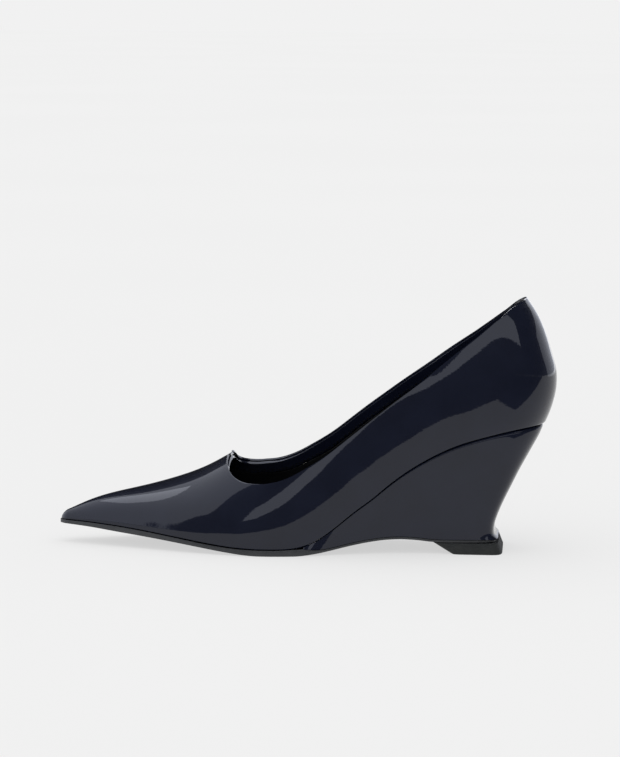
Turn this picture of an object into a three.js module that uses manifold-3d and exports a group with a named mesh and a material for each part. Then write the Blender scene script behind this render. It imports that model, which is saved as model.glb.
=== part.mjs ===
// Pointed-toe pump on a sculpted wedge heel (left shoe), built up as a shoemaker would:
// upper, stiffeners, linings, insole, shank, sock, outsole, wedge, toplift and fastenings.
// Millimetres, +Z up, toe towards -X, outer (lateral) side towards -Y.
import * as THREE from 'three';
import { mergeVertices } from 'three/addons/utils/BufferGeometryUtils.js';
import Module from 'manifold-3d';

// ---------------------------------------------------------------- driving sizes
const shoeLength = 249;        // toe tip to the fullest point of the counter
const heelRise = 64.5;         // top of the wedge at the back of the seat
const ballWidth = 75.6;        // feather edge to feather edge across the ball
const throatStation = 86;      // toe tip to the throat
const toplineRise = 126.4;     // top of the back seam above the ground
const upperThick = 1.2;        // patent leather of the upper
const stiffenerThick = 0.9;    // toe puff, side stays and counter
const liningThick = 0.8;
const boardThick = 2.0;        // insole board
const sockThick = 0.9;
const padThick = 2.0;          // foam pads under the sock
const soleThick = 2.9;         // outsole at the ball
const waistSoleThick = 1.1;    // outsole under the arch and over the toplift
const coverThick = 1.0;        // leather skin of the wedge
const topliftThick = 5.5;
const topliftWidth = 43;
const topliftBack = 223;       // station of the toplift's back edge at the ground
const topliftFront = 198;      // station of its front edge at the ground
const facingBand = 5;          // patent facing inside the topline
const marginWide = 12;         // lasting margin turned under the insole
const shankWide = 11, shankThick = 1.1;
const nailRadius = 0.8, screwRadius = 1.6, rivetRadius = 1.7, pinRadius = 1.5;
const gap = 0.3;               // clearance between neighbouring pieces
const holeGap = 0.25;          // clearance round a fastener

// everything below follows the sizes above
const kLong = shoeLength / 249, kWide = ballWidth / 75.6;
const tipRound = 3.5 * kLong;                  // rounding of the toe tip
const closeStation = 205 * kLong;              // where the heel begins to round off
const seatStation = 243.5 * kLong;             // back of the seat, along the feather edge
const wedgeTip = 125 * kLong;                  // front tip of the wedge
const dUpper = upperThick;                     // depths of the layers below the outside
const dStiff = dUpper + gap, dStiffIn = dStiff + stiffenerThick;
const dLining = dStiffIn + gap, dLiningIn = dLining + liningThick;
const dInside = dLiningIn + gap + 0.1;
const boardLow = upperThick + gap, boardTop = boardLow + boardThick;
const liftTop = boardTop + gap;                // underside of the linings, pads and sock

// ---------------------------------------------------------------- curves
// Smooth curve through points, with no overshoot between them.
function curve(points) {
  const n = points.length, x = points.map(p => p[0]), y = points.map(p => p[1]);
  const h = [], s = [], m = new Array(n).fill(0);
  for (let i = 0; i < n - 1; i++) { h[i] = x[i + 1] - x[i]; s[i] = (y[i + 1] - y[i]) / h[i]; }
  m[0] = s[0]; m[n - 1] = s[n - 2];
  for (let i = 1; i < n - 1; i++) {
    if (s[i - 1] * s[i] > 0) {
      const a = 2 * h[i] + h[i - 1], b = h[i] + 2 * h[i - 1];
      m[i] = (a + b) / (a / s[i - 1] + b / s[i]);
    }
  }
  return t => {
    if (t <= x[0]) return y[0] + m[0] * (t - x[0]);
    if (t >= x[n - 1]) return y[n - 1] + m[n - 1] * (t - x[n - 1]);
    let i = 0; while (t > x[i + 1]) i++;
    const u = (t - x[i]) / h[i], v = 1 - u;
    return y[i] * v * v * (1 + 2 * u) + y[i + 1] * u * u * (3 - 2 * u)
      + h[i] * (m[i] * u * v * v - m[i + 1] * u * u * v);
  };
}
const along = (list, ky, add = 0) => curve(list.map(p => [p[0] * kLong, p[1] * ky + add]));

// Heights scale with the heel: the forepart stays, the arch and seat rise with heelRise.
const kRise = heelRise / 64.5;
const feather = along([[0, 11.5], [14, 11.3], [26, 10.7], [37, 9.9], [62, 7.1], [80, 4.9], [92, 3.7],
  [104, 3.2], [115, 3.25], [121.5, 3.9], [127.5, 5.6], [133.5, 8.6], [141, 14.1], [149, 20.8],
  [159, 28.2], [167.5, 35.5], [176, 41.8], [190, 50.2], [202, 55.6], [214, 59.3], [226, 62.1],
  [237, 63.8], [243.5, 64.5]].map(p => [p[0], p[0] > 121 ? 3.9 + (p[1] - 3.9) * kRise : p[1]]), 1);
const topScale = (toplineRise - heelRise) / 61.9;    // wall height of the quarters and counter
const ridge = along([[0, 14.6], [4.4, 16.3], [9, 18.7], [13.6, 20.8], [18.3, 22.6], [27.5, 25.3],
  [37, 27.5], [46, 29.7], [60.5, 34.0], [69, 37.1], [77, 40.9], [86, 46.3], [100, 53], [120, 64],
  [150, 86], [175, 107], [200, 129], [225, 151], [243.5, 163]]
  .map(p => [p[0], p[0] > 90 ? feather(p[0] * kLong) + (p[1] - baseFeather(p[0])) * topScale : p[1]]), 1);
function baseFeather(s) {
  return curve([[90, 4], [120, 3.6], [150, 22], [175, 41], [200, 54.8], [225, 61.9], [243.5, 64.5]])(s);
}
const widthOut = along([[0, 3.2], [10, 7.6], [25, 13.8], [50, 23.6], [75, 32.4], [95, 37.3],
  [107, 38.3], [120, 36.6], [135, 32.4], [150, 28.8], [165, 26.5], [180, 25.9], [195, 26.4],
  [205, 26.7], [244, 26.7]], kWide);
const widthIn = along([[0, 3.2], [10, 8], [25, 14.6], [50, 25], [75, 34], [88, 37], [98, 37.3],
  [112, 34.3], [128, 29.2], [145, 25.2], [160, 23.8], [175, 24.1], [190, 25.6], [205, 26.7],
  [244, 26.7]], kWide);
const arch = along([[0, 1.9], [40, 2], [86, 2.08], [110, 2.2], [130, 2.5], [160, 2.85], [205, 3], [244, 3]], 1);
const bulge = along([[0, 0.02], [60, 0.02], [100, 0.02], [125, 0.04], [150, 0.07], [205, 0.1], [244, 0.1]], 1);
const ridgeSide = along([[0, 0], [40, 0.6], [86, 2], [150, 1], [205, 0], [244, 0]], kWide);
const skew = along([[0, 0], [50, 0.02], [86, 0.06], [104, 0.03], [120, 0], [244, 0]], 1);
// Back of the counter: station against height above the seat.
const counterBack = curve([[0, 243.5], [6, 246], [11, 247.5], [16, 248.6], [21, 249], [26, 248.7],
  [31, 247.2], [38.5, 245.0], [46.5, 242.3], [54.5, 238.5], [61.8, 233.4], [75, 224], [100, 204]]
  .map(p => [p[0] * topScale, p[1] * kLong]));
const medialLift = along([[86, 0], [92, 2.8], [100, 4.4], [120, 5], [150, 5.2], [165, 4.5], [178, 3.6],
  [190, 2], [200, 0.5], [208, -0.6], [225, -1.5], [243.5, 0]], 1);

// Height of the topline over the ground; side -1 lateral, +1 medial; m = distance below it.
function topline(s, side) {
  const q = Math.sqrt(Math.max(0, s - throatStation) / kLong);
  const start = ridge(throatStation);
  if (q <= 0) return start;
  const z = toplineHeights(q);
  return Math.min(start + 1e6 * q, z) + (side > 0 ? medialLift(s * 86 / throatStation) : 0);
}
const toplineHeights = curve([[0, 46.3], [0.55, 43.5], [1.3, 40.6], [2.1, 38.0], [2.85, 36.1],
  [3.6, 35.05], [4.36, 35.1], [5, 36.2], [5.6, 38.5], [6.3, 43.1], [7, 48.9], [7.8, 58.2],
  [8.5, 67.3], [9.1, 75.7], [9.8, 86.0], [10.4, 96.5], [10.9, 105.2], [11.35, 113.0],
  [11.8, 119.8], [12.2, 124.4], [12.55, 126.4]].map(p => {
  const s = throatStation / kLong + p[0] * p[0];
  if (s < 100) return p;
  const wall = p[1] - baseFeather(s), share = Math.min(1, (s - 100) / 60);
  return [p[0], feather(s * kLong) + wall * (1 + (topScale - 1) * share)];
}));
function cutLine(s, side, m) {
  if (m <= 0) return topline(s, side);
  const t = (topline(s + m + 0.5, side) - topline(s + m - 0.5, side));
  const slope = s + m - throatStation < 0.6 ? -50 : t;
  const z = topline(s + m, side) - m * (slope + Math.sqrt(1 + slope * slope));
  return s > closeStation ? Math.min(z, topline(s, side) - m * 1.1) : z;
}

// ---------------------------------------------------------------- the last
// Point on the outside of the upper (depth d = 0) or on a layer below it. theta runs from the
// feather edge (0) to the ridge of the foot (90 degrees).
const stationIn = (s, d) => s < 80 ? s + 2.4 * d * (1 - s / 80) ** 2 : s;
function last(s, theta, side, d = 0) {
  const blunt = s < tipRound ? Math.sqrt(Math.max(0, 1 - (1 - s / tipRound) ** 2)) : 1;
  const sIn = stationIn(s, d);
  const n = arch(sIn), e = 2 / n;
  const b = Math.sin(theta) ** e, a = theta > Math.PI / 2 - 1e-9 ? 0 : Math.cos(theta) ** e;
  const zf = feather(sIn);
  const rise = Math.max(0.2, ridge(sIn) - d - zf) * blunt;
  const z = zf + rise * b;
  let half = Math.max(0.3, (side < 0 ? widthOut(sIn) : widthIn(sIn)) - d) * blunt;
  let x = sIn;
  if (sIn > closeStation) {
    const u = Math.min(1, (sIn - closeStation) / (seatStation - closeStation));
    half *= (1 - u ** 2.3) ** (1 / 2.3);
    x = closeStation + (counterBack(z - heelRise) - d - closeStation) * u;
  }
  const y = side * half * a * (1 + bulge(sIn) * (1 - Math.exp(-rise * b / 7)))
    + ridgeSide(sIn) * (1 - a);
  return [x + skew(sIn) * y, y, z];
}
// Angle at which the outside of the upper reaches a given height.
function angleAt(s, side, z) {
  const rise = ridge(s) - feather(s);
  const b = Math.min(1, Math.max(0, (z - feather(s)) / rise));
  return Math.asin(b ** (arch(s) / 2));
}
// Angle at which a layer of depth d is a given height above the feather edge.
function lowAngle(s, d, low) {
  const sIn = stationIn(s, d), blunt = s < tipRound ? Math.sqrt(1 - (1 - s / tipRound) ** 2) : 1;
  const rise = Math.max(0.2, ridge(sIn) - d - feather(sIn)) * blunt;
  return low <= 0 || rise <= 0 ? 0 : Math.asin(Math.min(0.9, low / rise) ** (arch(sIn) / 2));
}
const topAngle = (s, side, m = 0) =>
  s <= throatStation - m ? Math.PI / 2 : angleAt(s, side, cutLine(s, side, m));

// ---------------------------------------------------------------- closed solids from grids
const key = p => p.map(v => Math.round(v * 2000)).join(',');
class Skin {
  constructor() { this.t = []; }
  tri(a, b, c) {
    const [p, q, r] = [key(a), key(b), key(c)];
    if (p !== q && q !== r && p !== r) this.t.push(a, b, c);
  }
  quad(a, b, c, d) { this.tri(a, b, c); this.tri(a, c, d); }
  geometry() {
    const pos = new Float32Array(this.t.length * 3);
    this.t.forEach((p, i) => pos.set(p, i * 3));
    let g = new THREE.BufferGeometry();
    g.setAttribute('position', new THREE.BufferAttribute(pos, 3));
    g = mergeVertices(g, 1e-3);
    if (volume(g) < 0) flip(g);
    return g;
  }
}
function volume(g) {
  const p = g.attributes.position, ix = g.index; let v = 0;
  const a = new THREE.Vector3(), b = new THREE.Vector3(), c = new THREE.Vector3();
  for (let i = 0; i < ix.count; i += 3) {
    a.fromBufferAttribute(p, ix.getX(i)); b.fromBufferAttribute(p, ix.getX(i + 1));
    c.fromBufferAttribute(p, ix.getX(i + 2)); v += a.dot(b.cross(c));
  }
  return v / 6;
}
function flip(g) {
  const a = g.index.array;
  for (let i = 0; i < a.length; i += 3) { const t = a[i]; a[i] = a[i + 1]; a[i + 1] = t; }
}
// A sheet between an outer grid P and an inner grid Q; wall(edge, i) says where it has an edge.
function sheetInto(skin, P, Q, turn = false, wall = () => true) {
  const put = turn ? (a, b, c, d) => skin.quad(d, c, b, a) : (a, b, c, d) => skin.quad(a, b, c, d);
  const n = P.length - 1, m = P[0].length - 1;
  for (let i = 0; i < n; i++) for (let j = 0; j < m; j++) {
    put(P[i][j], P[i + 1][j], P[i + 1][j + 1], P[i][j + 1]);
    put(Q[i][j + 1], Q[i + 1][j + 1], Q[i + 1][j], Q[i][j]);
  }
  for (let i = 0; i < n; i++) {
    if (wall('low', i)) put(Q[i][0], Q[i + 1][0], P[i + 1][0], P[i][0]);
    if (wall('high', i)) put(P[i][m], P[i + 1][m], Q[i + 1][m], Q[i][m]);
  }
  for (let j = 0; j < m; j++) {
    if (wall('first', j)) put(P[0][j], P[0][j + 1], Q[0][j + 1], Q[0][j]);
    if (wall('last', j)) put(Q[n][j], Q[n][j + 1], P[n][j + 1], P[n][j]);
  }
}
function sheet(P, Q) { const k = new Skin(); sheetInto(k, P, Q); return k.geometry(); }
const steps = (a, b, n) => Array.from({ length: n + 1 }, (_, i) => a + (b - a) * i / n);
const front = [0, 0.5, 1.6, 3.5, 7, 12, 19, 28, 38, 48, 58, 67, 75, 81.5, 86].map(s => s * throatStation / 86);
const behind = [0.3, 1, 2.5, 5, 9, 14, 20, 27, 35, 39, 44, 54, 64, 75, 86, 97, 108, 119]
  .map(t => throatStation + t * (closeStation - throatStation) / 119);
const stations = [...front, ...behind];
// The shared stations nearest to a place, and all those between two places.
const near = s => stations.reduce((a, b) => Math.abs(b - s) < Math.abs(a - s) ? b : a);
const between = (a, b) => stations.filter(s => s >= near(a) && s <= near(b));
// The same, with exact limits, for the linings at the throat.
const exactly = (a, b) => [a, ...stations.filter(s => s > a + 0.6 && s < b - 0.6), b];
// Steps up a wall, closer together at its foot, where the wall curves most.
const climb = (a, b, n) => steps(0, 1, n).map(t => a + (b - a) * t ** 1.5);
// Stations through the rounded heel, closer together at the back.
const heelStations = n => steps(0, 1, n).slice(1)
  .map(t => closeStation + (seatStation - closeStation) * Math.sin(t * Math.PI / 2) ** (2 / 2.3));

// ---------------------------------------------------------------- upper and its layers
function upperShell() {
  const rows = [...stations, ...heelStations(8)];
  const skin = new Skin(), cols = 12;
  for (const side of [-1, 1]) {
    const P = [], Q = [];
    for (const s of rows) {
      const top = topAngle(s, side);
      const out = [turnedEdge(s, side, 0)], inn = [turnedEdge(s, side, upperThick)];
      const low = lowAngle(s, dUpper, upperThick);
      for (let j = 0; j <= cols; j++) {
        const t = (j / cols) ** 1.3;
        out.push(last(s, top * t, side)); inn.push(last(s, low + (top - low) * t, side, dUpper));
      }
      P.push(out); Q.push(inn);
    }
    sheetInto(skin, P, Q, side > 0, (edge, i) => edge === 'low' ||
      (edge === 'high' && rows[i] >= throatStation - 1e-6));
  }
  return skin.geometry();
}
// Inner edge of the lasting margin, under the insole board.
function turnedEdge(s, side, rise) {
  const w = side < 0 ? widthOut(s) : widthIn(s);
  const p = last(s, 0, side, Math.min(marginWide * kWide, 0.45 * w));
  return [p[0], p[1], feather(p[0] - skew(stationIn(s, marginWide)) * p[1]) + rise];
}
// A layer over the front of the foot, from one feather edge over the ridge to the other.
function frontLayer(rows, d0, d1, low, cols) {
  const grid = d => rows.map(s => {
    const row = [], start = lowAngle(s, d, low);
    for (let j = 0; j <= 2 * cols; j++) {
      const side = j <= cols ? -1 : 1, t = j <= cols ? j / cols : 2 - j / cols;
      row.push(last(s, start + (Math.PI / 2 - start) * t, side, d));
    }
    return row;
  });
  return sheet(grid(d0), grid(d1));
}
// A layer on one side of the foot, below the topline by m.
function sideLayer(rows, side, d0, d1, low, m, cols) {
  const grid = d => rows.map(s => climb(lowAngle(s, d, low), topAngle(s, side, m), cols)
    .map(t => last(s, t, side, d)));
  return sheet(grid(d0), grid(d1));
}
// A layer wrapped round the heel from one side to the other; trim lowers it towards its ends.
function heelLayer(start, d0, d1, low, m, cols, trim = () => 0) {
  const half = [...exactly(start, closeStation), ...heelStations(8)];
  const path = [...half.map(s => [s, -1]), ...half.slice(0, -1).reverse().map(s => [s, 1])];
  const grid = d => path.map(([s, side]) =>
    climb(lowAngle(s, d, low), topAngle(s, side, m + trim(s)), cols).map(t => last(s, t, side, d)));
  return sheet(grid(d0), grid(d1));
}
// Patent facing band just inside the topline, one ring round throat, sides and heel.
function facingRing() {
  const list = [throatStation, ...behind, ...heelStations(8)];
  const path = [...list.map(s => [s, -1]), ...list.slice(1, -1).reverse().map(s => [s, 1])];
  const grid = d => [...path, path[0]].map(([s, side]) => {
    const back = Math.max(0, 1 - (s - throatStation) / 16), sIn = s - facingBand * back ** 1.5;
    const hi = topAngle(s, side, 0), lo = topAngle(sIn, side, facingBand);
    return steps(0, 1, 2).map(t => last(s + (sIn - s) * t, hi + (lo - hi) * t, side, d));
  });
  const skin = new Skin();
  sheetInto(skin, grid(dStiff + 2.5 * gap), grid(dLiningIn), false, e => e === 'low' || e === 'high');
  return skin.geometry();
}

// ---------------------------------------------------------------- plates under the foot
// Edge of a plate whose top is h over the feather edge: in the low toe the roof narrows it.
function plateEdge(s, side, d, h) {
  const foot = last(s, 0, side, d);
  if (s > 100 * kLong) return foot;
  const up = last(s, lowAngle(s, d, h), side, d);
  return Math.abs(up[1]) < Math.abs(foot[1]) ? up : foot;
}
// A plate lying on the bottom of the last: inset d, between heights lo(s) and hi(s) over the
// feather edge. closeBack rounds it off with the heel.
function plate(rows, d, lo, hi, halfWidth = null) {
  const grid = h => rows.map(s => {
    const mid = last(s, 0, -1, d)[0] - skew(stationIn(s, d)) * last(s, 0, -1, d)[1];
    const l = plateEdge(s, -1, d, hi(mid)), r = plateEdge(s, 1, d, hi(mid));
    const z = feather(mid) + h(mid);
    const a = halfWidth ? Math.max(l[1], -halfWidth(s)) : l[1];
    const b = halfWidth ? Math.min(r[1], halfWidth(s)) : r[1];
    return steps(0, 1, 4).map(t => {
      const y = a + (b - a) * t;
      return [l[0] + (r[0] - l[0]) * (y - l[1]) / Math.max(1e-6, r[1] - l[1]), y, z];
    });
  });
  return sheet(grid(hi), grid(lo));
}
const padRise = s => padThick * Math.max(bump(s, 52, 62, 112, 126), bump(s, 172, 182, 226, 238));
function bump(s, a, b, c, e) {
  const up = smooth((s / kLong - a) / (b - a)), down = smooth((e - s / kLong) / (e - c));
  return Math.min(up, down);
}
const smooth = t => { const u = Math.min(1, Math.max(0, t)); return u * u * (3 - 2 * u); };

// ---------------------------------------------------------------- outsole, wedge, toplift
const soleBottom = along([[0, 9.6], [15, 8.9], [30, 7.6], [45, 6.3], [60, 4.8], [75, 3.1], [88, 1.5],
  [97, 0.45], [104, 0], [121, 0], [126, 0.35], [132, 1.1], [139, 2.5], [148, 4.5], [158, 6.3],
  [166, 7.2], [172, 7.4], [181, 6.9], [188, 6.1], [195, 5.8], [222, 5.8]]
  .map(p => [p[0], p[0] > 121 ? p[1] * (topliftThick + gap) / 5.8 : p[1]]), 1);
// The sole's top lies under the feather edge in front, and under the wedge behind its tip.
function soleTop(s) {
  const front = feather(s) - gap, thin = soleBottom(s) + waistSoleThick;
  return s < wedgeTip ? Math.max(soleBottom(s) + 0.5, Math.min(front, soleBottom(s) + soleThick + 0.4))
    : Math.min(front, thin + (soleTop(wedgeTip - 1e-6) - soleBottom(wedgeTip) - waistSoleThick)
      * Math.max(0, 1 - (s - wedgeTip) / 14) ** 2);
}
const wedgeEnd = 220.8 * kLong;                // back of the wedge at its foot
const footShare = (wedgeEnd - wedgeTip) / (seatStation - wedgeTip);
const footWide = side => along([[125, side < 0 ? 35.6 : 30.6], [150, side < 0 ? 28 : 25], [170, 23.6],
  [188, 21.6], [205, 20.6], [222, 20.4]], topliftWidth / 43);
const footOut = footWide(-1), footIn = footWide(1);
// Concave back of the wedge, as a setback from the straight line foot to seat.
const wedgeHollow = curve([[0, 0], [0.03, 2.4], [0.06, 3.3], [0.1, 4.1], [0.16, 4.7], [0.24, 4.8], [0.32, 4.6],
  [0.45, 3.9], [0.6, 3.0], [0.8, 1.2], [0.93, 0.1], [1, 0]]);
// Point on the side of the wedge: s along its top edge, v from its foot (0) to its top (1).
function wedgeSide(s, v, side, inset) {
  const u = Math.max(0, Math.min(1, (s - closeStation) / (seatStation - closeStation)));
  const top = last(s, 0, side, 0.6 + inset);
  const xf = wedgeTip + (s - wedgeTip) * footShare - inset * u;
  const wf = (side < 0 ? footOut(xf) : footIn(xf)) - inset;
  const nf = 4.2, tight = (1 - u ** nf) ** (1 / nf);
  const zt = feather(top[0] - skew(s) * top[1]) - gap, zb = soleTop(Math.max(xf, wedgeTip)) + gap;
  const round = tight * (1 - v) ** 0.5 + (1 - (1 - v) ** 0.5) * (1 - u ** 2.3) ** (1 / 2.3);
  const wt = Math.abs(top[1]) / Math.max(1e-6, (1 - u ** 2.3) ** (1 / 2.3));
  const y = u > 0 && u < 1 ? side * (wf + (wt - wf) * v) * round : side * (wf + (Math.abs(top[1]) - wf) * v)
    * (u >= 1 ? 0 : 1);
  const x = xf + (top[0] - xf) * v - wedgeHollow(v) * kLong * smooth(u * 1.15);
  return [x, y, zb + (zt - zb) * v];
}
const wedgeStations = () => [...[0.02, 0.05, 0.1, 0.17, 0.26, 0.36, 0.47, 0.6, 0.73, 0.86]
  .map(t => wedgeTip + (closeStation - wedgeTip) * t), closeStation, ...heelStations(9)];
const wedgeLevels = [0, 0.05, 0.12, 0.22, 0.38, 0.6, 0.82, 1];
function wedgeCore() {
  const skin = new Skin(), rows = wedgeStations(), inset = coverThick + gap;
  const at = side => rows.map(s => wedgeLevels.map(v => wedgeSide(s, v, side, inset)));
  const L = at(-1), R = at(1), n = rows.length - 1, m = wedgeLevels.length - 1;
  for (let i = 0; i < n; i++) for (let j = 0; j < m; j++) {
    skin.quad(L[i][j], L[i + 1][j], L[i + 1][j + 1], L[i][j + 1]);
    skin.quad(R[i][j + 1], R[i + 1][j + 1], R[i + 1][j], R[i][j]);
  }
  for (let i = 0; i < n; i++) {
    skin.quad(L[i][m], L[i + 1][m], R[i + 1][m], R[i][m]);
    skin.quad(R[i][0], R[i + 1][0], L[i + 1][0], L[i][0]);
  }
  for (let j = 0; j < m; j++) skin.quad(L[0][j], L[0][j + 1], R[0][j + 1], R[0][j]);
  return skin.geometry();
}
function wedgeCover() {
  const half = wedgeStations();
  const path = [...half.map(s => [s, -1]), ...half.slice(0, -1).reverse().map(s => [s, 1])];
  const grid = inset => path.map(([s, side]) => wedgeLevels.map(v => wedgeSide(s, v, side, inset)));
  return sheet(grid(0), grid(coverThick));
}
function outsole() {
  const rows = [0, 0.5, 1.6, 3.5, 8, 15, 24, 34, 44, 54, 64, 74, 84, 94, 103, 112, 121, 126, 131, 137,
    145, 153, 162, 171, 180, 188].map(s => s * kLong);
  const tail = [0.2, 0.45, 0.7, 0.86, 0.95, 1].map(t => t);
  const edge = (s, side) => {
    if (s <= 121 * kLong) { const p = last(s, 0, side, -0.2); return [p[0], p[1]]; }
    const t = smooth((s - 121 * kLong) / (12 * kLong));
    const p = last(s, 0, side, -0.2), w = (side < 0 ? footOut(s) : footIn(s)) - 0.3;
    return [s + (p[0] - s) * (1 - t), side * (Math.abs(p[1]) * (1 - t) + w * t)];
  };
  const list = rows.map(s => ({ s, l: edge(s, -1), r: edge(s, 1) }));
  const from = rows[rows.length - 1], to = wedgeEnd - 1;
  for (const t of tail) {
    const x = from + (to - from) * t, f = (1 - t ** 4.2) ** (1 / 4.2);
    list.push({ s: x, l: [x, -(footOut(x) - 0.3) * f], r: [x, (footIn(x) - 0.3) * f] });
  }
  const grid = h => list.map(o => steps(0, 1, 4).map(t => [o.l[0] + (o.r[0] - o.l[0]) * t,
    o.l[1] + (o.r[1] - o.l[1]) * t, h(o.s)]));
  return sheet(grid(soleTop), grid(soleBottom));
}
// Toplift: D-shaped block, its front face sloping back to the ground.
function toplift() {
  const back = 5, skin = new Skin();
  const ring = (x0, x1, half, z) => {
    const pts = [];
    for (const side of [-1, 1]) {
      const line = [0, 0.35, 0.7, 0.82, 0.9, 0.96, 0.99, 1].map(t => {
        const f = (1 - t ** back) ** (1 / back);
        return [x0 + (x1 - x0) * t, side * half * f, z];
      });
      pts.push(...(side < 0 ? line : line.slice(0, -1).reverse()));
    }
    return pts;
  };
  const w = topliftWidth / 2;
  const rings = [ring(topliftFront * kLong, topliftBack * kLong, w * 1.02, 0),
    ring((topliftFront - 1) * kLong, topliftBack * kLong, w * 1.03, 0.6),
    ring((topliftFront - 9.4) * kLong, (topliftBack - 1.9) * kLong, w * 0.985, topliftThick)];
  for (let r = 0; r < 2; r++) {
    const A = rings[r], B = rings[r + 1], n = A.length;
    for (let i = 0; i < n; i++) skin.quad(A[i], A[(i + 1) % n], B[(i + 1) % n], B[i]);
  }
  for (const [A, up] of [[rings[0], false], [rings[2], true]]) {
    const n = A.length;
    for (let i = 0; i < n / 2 - 1; i++) {
      const a = A[i], b = A[i + 1], c = A[n - 2 - i], d = A[n - 1 - i];
      if (up) skin.quad(a, b, c, d); else skin.quad(d, c, b, a);
    }
  }
  return skin.geometry();
}

// ---------------------------------------------------------------- fastenings
// Solid of revolution standing on the last's bottom: [radius, height] from the foot upwards.
function turned(profile, x, y, z, lean = 0, sides = 16) {
  const skin = new Skin(), rings = profile.map(([r, h]) => Array.from({ length: sides }, (_, i) => {
    const t = 2 * Math.PI * i / sides;
    const p = new THREE.Vector3(r * Math.cos(t), r * Math.sin(t), h).applyAxisAngle(new THREE.Vector3(0, 1, 0), lean);
    return [p.x + x, p.y + y, p.z + z];
  }));
  for (let k = 0; k < rings.length - 1; k++) for (let i = 0; i < sides; i++) {
    const j = (i + 1) % sides;
    skin.quad(rings[k][i], rings[k][j], rings[k + 1][j], rings[k + 1][i]);
  }
  for (let i = 1; i < sides - 1; i++) {
    skin.tri(rings[0][0], rings[0][i + 1], rings[0][i]);
    const e = rings[rings.length - 1]; skin.tri(e[0], e[i], e[i + 1]);
  }
  return skin.geometry();
}
const slopeAt = s => (feather(s + 1) - feather(s - 1)) / 2;
// Nail or screw driven down through the insole board into the wedge, head sunk in the board.
function nailAt(s, y, radius, length, grow = 0) {
  const top = feather(s) + boardTop - 0.2 - Math.abs(slopeAt(s)) * radius * 3;
  const head = radius * 2.4 + grow, shaft = radius + grow;
  return turned([[grow ? shaft : shaft * 0.35, -length - grow], [shaft, -length + (grow ? 0 : 2)],
    [shaft, -1.1 - grow], [head, -0.9 - grow], [head, grow ? 8 : 0]], s, y, top);
}
// Rivet holding the shank to the insole board, square to both.
function rivetAt(s, grow = 0) {
  const lean = -Math.atan(slopeAt(s));
  const low = grow ? -3 : 0.1, high = grow ? 8 : (boardTop - 0.2) * Math.cos(lean);
  return turned([[rivetRadius + grow, low], [rivetRadius + grow, high]], s, 0, feather(s), lean, 14);
}
// Pin of the toplift, up through the outsole into the foot of the wedge.
function pinAt(x, y, grow = 0) {
  const low = topliftThick * 0.35, high = topliftThick + 12;
  return turned([[pinRadius + grow, low - grow], [pinRadius + grow, high + grow]], x, y, 0, 0, 12);
}

// ---------------------------------------------------------------- joining cuts
const wasm = await Module(); wasm.setup();
function toManifold(g) {
  let h = g.clone(); h.deleteAttribute('normal'); h.deleteAttribute('uv');
  h = mergeVertices(h, 1e-4);
  return new wasm.Manifold(new wasm.Mesh({ numProp: 3,
    vertProperties: new Float32Array(h.attributes.position.array), triVerts: new Uint32Array(h.index.array) }));
}
function cut(g, tools) {
  let m = toManifold(g);
  for (const t of tools) m = m.subtract(toManifold(t));
  const out = m.getMesh(), h = new THREE.BufferGeometry();
  h.setAttribute('position', new THREE.BufferAttribute(new Float32Array(out.vertProperties), 3));
  h.setIndex(new THREE.BufferAttribute(new Uint32Array(out.triVerts), 1));
  return h;
}

// ---------------------------------------------------------------- the shoe
const at = list => list.map(t => t * kLong);
const nails = [['heel_nail_front_lateral', 208, -9], ['heel_nail_front_medial', 208, 9],
  ['heel_nail_back_lateral', 221, -6], ['heel_nail_back_medial', 221, 6]]
  .map(([name, s, y]) => [name, s * kLong, y * kWide]);
const screw = [213.5 * kLong, 0], rivets = at([150, 192]);
const pins = [[203.5 * kLong, 0], [213.5 * kLong, 0]];
const boardRows = [...between(12 * kLong, closeStation), ...heelStations(8)];

const pieces = {};
pieces.upper = [upperShell(), 'patent'];
pieces.topline_facing = [facingRing(), 'patent'];
pieces.toe_puff = [frontLayer(between(12 * kLong, Math.min(67 * kLong, throatStation - facingBand - 10)), dStiff, dStiffIn, boardLow, 8), 'stiff'];
const clear = facingBand + gap * 3;
pieces.lateral_side_stay = [sideLayer(between(100 * kLong, 172 * kLong), -1, dStiff, dStiffIn,
  boardLow, clear + 1, 6), 'stay'];
pieces.medial_side_stay = [sideLayer(between(100 * kLong, 172 * kLong), 1, dStiff, dStiffIn,
  boardLow, clear + 1, 6), 'stay'];
pieces.heel_counter = [heelLayer(near(183 * kLong) - 4.5 * kLong, dStiff, dStiffIn, boardLow, clear, 8,
  s => 10 * smooth((205 * kLong - s) / (27 * kLong))), 'stiff'];
pieces.vamp_lining = [frontLayer(exactly(near(15 * kLong), throatStation - clear),
  dLining, dLiningIn, liftTop, 8), 'lining'];
const sideRows = exactly(throatStation - clear + gap, near(194 * kLong));
pieces.lateral_quarter_lining = [sideLayer(sideRows, -1, dLining, dLiningIn, liftTop, clear, 6), 'lining'];
pieces.medial_quarter_lining = [sideLayer(sideRows, 1, dLining, dLiningIn, liftTop, clear, 6), 'lining'];
pieces.heel_grip = [heelLayer(near(194 * kLong) + gap, dLining, dLiningIn, liftTop, clear, 8), 'grip'];
pieces.insole_board = [cut(plate(boardRows, dLining, () => boardLow, () => boardTop),
  [...nails.map(([, s, y]) => nailAt(s, y, nailRadius, 20, holeGap)),
    nailAt(screw[0], screw[1], screwRadius, 22, holeGap), ...rivets.map(s => rivetAt(s, holeGap))]), 'board'];
pieces.steel_shank = [cut(plate(between(130 * kLong, 203 * kLong), marginWide, () => 0.1,
  () => 0.1 + shankThick, () => shankWide / 2), rivets.map(s => rivetAt(s, holeGap))), 'steel'];
rivets.forEach((s, i) => { pieces[i ? 'shank_rivet_back' : 'shank_rivet_front'] = [rivetAt(s), 'steel']; });
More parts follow.
